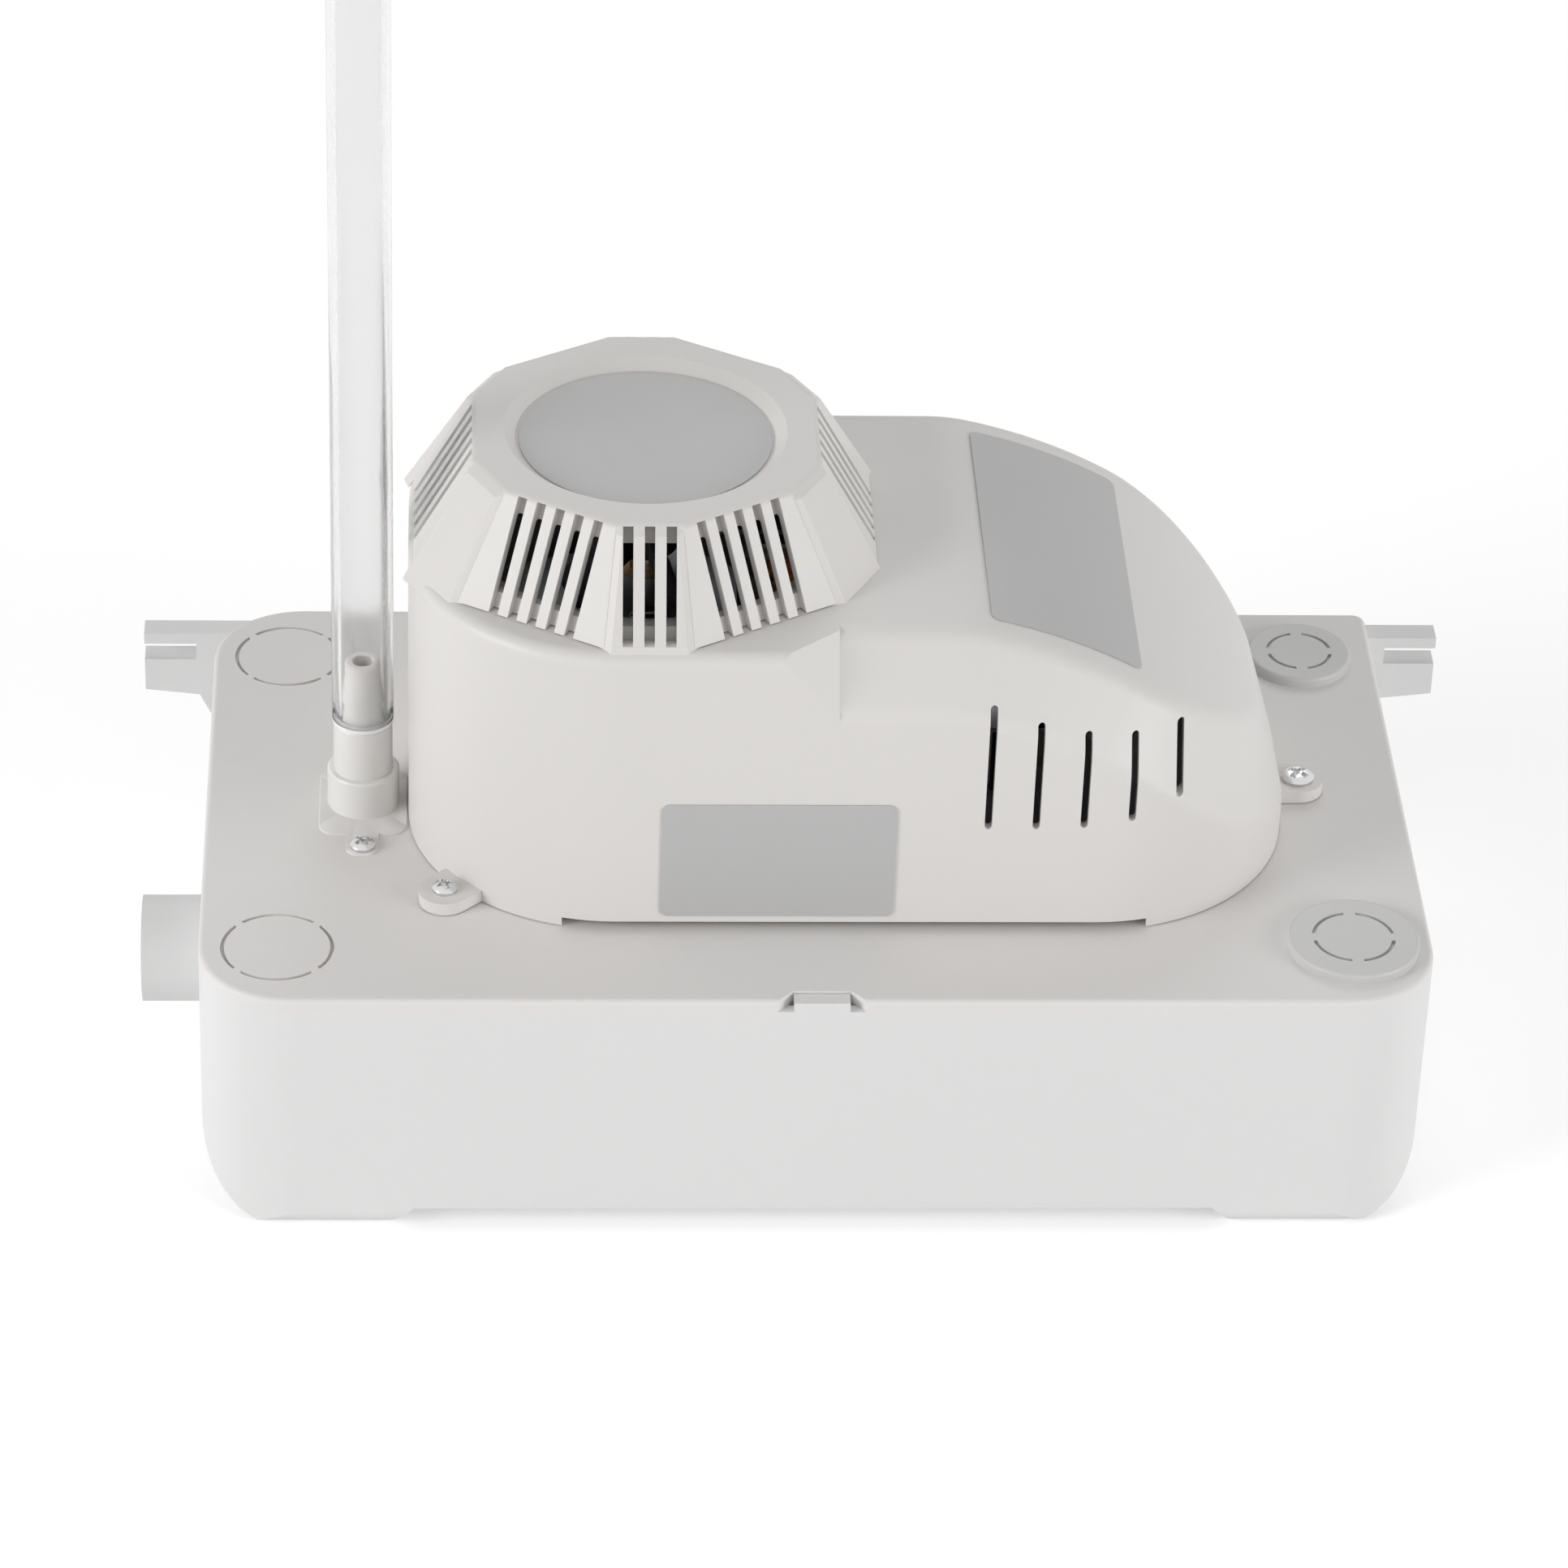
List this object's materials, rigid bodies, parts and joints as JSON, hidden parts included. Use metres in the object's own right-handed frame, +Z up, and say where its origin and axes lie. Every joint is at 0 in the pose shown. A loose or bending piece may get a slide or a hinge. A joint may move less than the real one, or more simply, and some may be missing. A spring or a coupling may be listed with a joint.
{
  "type": "condensate pump",
  "caption": "Condensate pump: low tank with wall ears, lid with float and impeller below, vented motor cover above, check valve with clear hose.",
  "frame": {"origin": "on the plane that the feet stand on, at the middle of the tank", "axes": "+Z up, +X along the tank away from the hose, +Y towards the wall that the ears fasten to"},
  "size_m": [0.315, 0.16, 0.288],
  "materials": {
    "tank_plastic": "cool white moulded plastic, fine matte",
    "lid_plastic": "warm light grey moulded plastic, fine grain",
    "cover_plastic": "warm off-white moulded plastic, satin",
    "plug_plastic": "white moulded plastic",
    "label": "bare grey sticker",
    "valve_plastic": "off-white nylon",
    "clear_hose": "clear vinyl hose",
    "rubber": "black rubber",
    "black_plastic": "black moulded plastic",
    "strainer_plastic": "dark moulded mesh",
    "float_plastic": "closed float, natural plastic",
    "bobbin_plastic": "glass filled nylon",
    "core_steel": "bare lamination steel",
    "copper": "enamelled copper wire",
    "bracket_metal": "zinc plated",
    "shaft_steel": "ground steel",
    "screw_steel": "bright plated steel",
    "bronze": "sintered bronze"
  },
  "bodies": {
    "housing": {"tank": "tank_plastic", "tank_lid": "lid_plastic", "motor_cover": "cover_plastic", "vent_cap": "cover_plastic", "cap_label": "label", "front_label": "label", "roof_label": "label", "cover_screws": "screw_steel", "valve_body": "valve_plastic", "valve_seal": "rubber", "valve_retainer": "lid_plastic", "retainer_screw": "screw_steel", "discharge_hose": "clear_hose", "discharge_tube": "black_plastic", "stator_core": "core_steel", "coil_bobbin": "bobbin_plastic", "coil_winding": "copper", "upper_bearing_bracket": "bracket_metal", "lower_bearing_bracket": "bracket_metal", "shaft_bearings": "bronze", "motor_screws": "screw_steel", "pump_housing": "black_plastic", "volute_plate": "black_plastic", "inlet_strainer": "strainer_plastic", "pump_screws": "screw_steel", "float_bracket": "black_plastic", "float_pin": "shaft_steel", "lever_pin": "shaft_steel", "float_switch": "black_plastic", "overflow_switch": "black_plastic", "switch_screws": "screw_steel", "switch_bracket": "bracket_metal", "bracket_screws": "screw_steel", "cord_gland": "rubber"},
    "motor_rotor": {"rotor": "core_steel", "motor_shaft": "shaft_steel", "cooling_fan": "black_plastic", "impeller": "black_plastic"},
    "float_assembly": {"float_body": "float_plastic", "float_arm": "black_plastic"},
    "push_rod": {"float_rod": "black_plastic"},
    "lever": {"switch_lever": "shaft_steel"},
    "ball": {"check_ball": "rubber"},
    "front_plug": {"inlet_plug_front": "plug_plastic"},
    "rear_plug": {"inlet_plug_rear": "plug_plastic"}
  },
  "joints": [
    {"name": "motor_spin", "type": "hinge", "parent": "housing", "child": "motor_rotor", "pos_m": [-0.0395, 0.005, 0.1], "axis": [0, 0, 1], "continuous": true},
    {"name": "float_swing", "type": "hinge", "parent": "housing", "child": "float_assembly", "pos_m": [0.036, 0.005, 0.05], "axis": [0, -1, 0], "range_deg": [0, 14]},
    {"name": "rod_lift", "type": "slide", "parent": "housing", "child": "push_rod", "axis": [0, 0, 1], "range_m": [0, 0.0016]},
    {"name": "lever_swing", "type": "hinge", "parent": "housing", "child": "lever", "pos_m": [0.066, 0.005, 0.084], "axis": [0, 1, 0], "range_deg": [0, 4.2]},
    {"name": "ball_lift", "type": "slide", "parent": "housing", "child": "ball", "axis": [0, 0, 1], "range_m": [0, 0.003]},
    {"name": "front_plug_lift", "type": "slide", "parent": "housing", "child": "front_plug", "axis": [0, 0, 1], "range_m": [0, 0.03]},
    {"name": "rear_plug_lift", "type": "slide", "parent": "housing", "child": "rear_plug", "axis": [0, 0, 1], "range_m": [0, 0.03]}
  ],
  "couplings": [
    {"joint": "rod_lift", "follows": "float_swing", "m_per_rad": 0.006},
    {"joint": "lever_swing", "follows": "float_swing", "ratio": 0.286}
  ]
}
